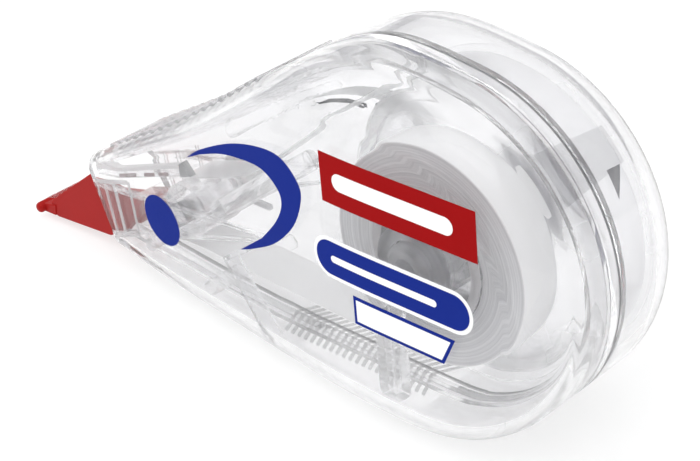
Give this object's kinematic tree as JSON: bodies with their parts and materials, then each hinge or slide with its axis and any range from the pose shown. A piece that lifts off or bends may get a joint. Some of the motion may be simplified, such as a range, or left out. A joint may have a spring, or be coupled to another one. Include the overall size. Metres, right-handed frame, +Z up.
{
  "type": "correction tape roller",
  "caption": "Clear-cased pocket roller that lays a strip of white correction tape from a sprung tip, with a supply reel and a take-up drum.",
  "frame": {"origin": "centre of the bounding box's underside, on the plane of the flat base", "axes": "-X towards the applicator tip, +X towards the round rear, -Y the labelled side, +Z up from the flat base"},
  "size_m": [0.0782, 0.0196, 0.0347],
  "materials": {
    "case_clear": "clear moulded polystyrene",
    "inner_clear": "clear moulded plastic",
    "frosted": "natural plastic",
    "tip_red": "satin red",
    "tape_white": "coated tape edge",
    "liner_grey": "silicone liner",
    "drum_clear": "translucent drum",
    "spring_steel": "spring wire",
    "rubber_dark": "friction ring"
  },
  "bodies": {
    "case": {"near_shell": "case_clear", "far_shell": "case_clear", "nose_guide_near": "case_clear", "nose_guide_far": "case_clear", "reel_spindle": "frosted", "spindle_cap": "frosted", "tip_pivot_pin": "frosted", "feed_guide_pin": "inner_clear", "return_guide_pin": "inner_clear", "base_post": "inner_clear", "locating_pin_top": "inner_clear", "locating_pin_bottom": "inner_clear", "tape_feed_run": "tape_white", "liner_return_run": "liner_grey"},
    "supply_reel": {"supply_hub": "inner_clear", "tape_roll": "tape_white", "clutch_ring": "rubber_dark"},
    "takeup_reel": {"takeup_drum": "drum_clear", "spent_liner": "liner_grey", "clutch_spring": "spring_steel", "clutch_plate": "frosted"},
    "tip": {"tip_head": "tip_red", "tip_arm": "inner_clear", "tip_spring": "spring_steel", "leader_loop": "inner_clear"}
  },
  "joints": [
    {"name": "supply_spin", "type": "hinge", "parent": "case", "child": "supply_reel", "pos_m": [0.0221, 0, 0.01707], "axis": [0, 1, 0], "continuous": true},
    {"name": "takeup_spin", "type": "hinge", "parent": "case", "child": "takeup_reel", "pos_m": [0.0221, 0, 0.01707], "axis": [0, 1, 0], "continuous": true},
    {"name": "tip_press", "type": "hinge", "parent": "case", "child": "tip", "pos_m": [-0.0126, 0, 0.0093], "axis": [0, 1, 0], "range_deg": [0, 4], "stiffness_Nm_per_rad": 0.05}
  ],
  "couplings": [
    {"joint": "takeup_spin", "follows": "supply_spin", "ratio": 0.75}
  ]
}
